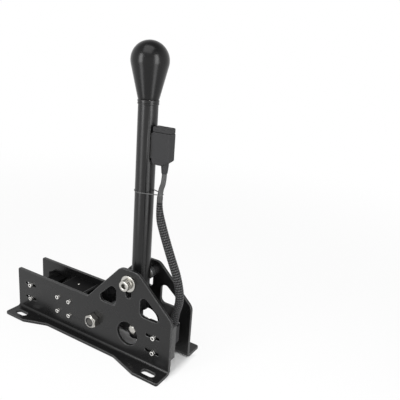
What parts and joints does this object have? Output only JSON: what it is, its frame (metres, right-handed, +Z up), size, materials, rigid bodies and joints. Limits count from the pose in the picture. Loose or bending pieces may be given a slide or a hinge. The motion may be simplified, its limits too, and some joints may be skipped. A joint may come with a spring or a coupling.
{
  "type": "sim racing handbrake and sequential shifter lever",
  "caption": "Upright spring-centred lever with a round tapered knob, pivoted between two folded steel side plates with slotted feet; a link and push rod below work two switches.",
  "frame": {"origin": "middle of the base on the surface that the feet stand on", "axes": "+Z up along the lever at rest, +X towards the end where the cable comes out, -Y towards the side with the pivot screw's head"},
  "size_m": [0.252, 0.092, 0.368],
  "materials": {
    "plate_black": "satin powder coat",
    "tube_black": "satin",
    "knob_black": "glossy",
    "fastener_steel": "bright",
    "spring_steel": "bright",
    "machined_aluminium": "machined",
    "bronze": "satin",
    "box_black": "matte",
    "switch_black": "matte",
    "plunger_red": "matte",
    "mount_grey": "matte",
    "block_black": "matte",
    "sleeve_grey": "braided",
    "lead_black": "matte",
    "tie_clear": "matte",
    "foam": "matte"
  },
  "bodies": {
    "base": {"side_plate_near": "plate_black", "side_plate_far": "plate_black", "plate_screws": "fastener_steel", "pivot_bolt": "fastener_steel", "pivot_washers": "fastener_steel", "pivot_nut": "fastener_steel", "pivot_spacers": "machined_aluminium", "cross_bolt": "fastener_steel", "cross_nut": "fastener_steel", "cross_sleeves": "machined_aluminium", "guide_block": "block_black", "rod_bushing": "bronze", "front_switch_mount": "mount_grey", "rear_switch_mount": "block_black", "front_switch": "switch_black", "rear_switch": "switch_black", "switch_screws": "fastener_steel", "terminal_housing": "mount_grey", "cable_gland": "box_black", "front_spring": "spring_steel", "rear_spring": "spring_steel", "cable_sleeve": "sleeve_grey"},
    "lever": {"lever_tube": "tube_black", "lever_fork": "tube_black", "pivot_hub": "fastener_steel", "clevis_bolt": "fastener_steel", "clevis_nut": "fastener_steel", "jam_ring": "tube_black", "knob_stud": "fastener_steel", "knob": "knob_black", "controller_box": "box_black", "controller_cap": "box_black", "box_pad": "foam", "signal_lead": "lead_black", "cable_tie": "tie_clear"},
    "link": {"link_bar": "fastener_steel", "push_rod": "fastener_steel", "rear_collar": "fastener_steel", "striker": "fastener_steel"},
    "front_plunger": {"front_plunger": "plunger_red"},
    "rear_plunger": {"rear_plunger": "plunger_red"}
  },
  "joints": [
    {"name": "lever_pivot", "type": "hinge", "parent": "base", "child": "lever", "pos_m": [0.064, 0, 0.099], "axis": [0, 1, 0], "range_deg": [-6, 6], "stiffness_Nm_per_rad": 80, "deforming": ["cable_sleeve"]},
    {"name": "link_slide", "type": "slide", "parent": "base", "child": "link", "axis": [1, 0, 0], "range_m": [-0.00697, 0.00697], "deforming": ["front_spring", "rear_spring"]},
    {"name": "front_plunger_press", "type": "slide", "parent": "base", "child": "front_plunger", "axis": [1, 0, 0], "range_m": [0, 0.0012], "stiffness_N_per_m": 100, "springref_m": -0.0004},
    {"name": "rear_plunger_press", "type": "slide", "parent": "base", "child": "rear_plunger", "axis": [-1, 0, 0], "range_m": [0, 0.0012], "stiffness_N_per_m": 100, "springref_m": -0.0004}
  ],
  "couplings": [
    {"joint": "link_slide", "follows": "lever_pivot", "m_per_rad": -0.0665}
  ]
}
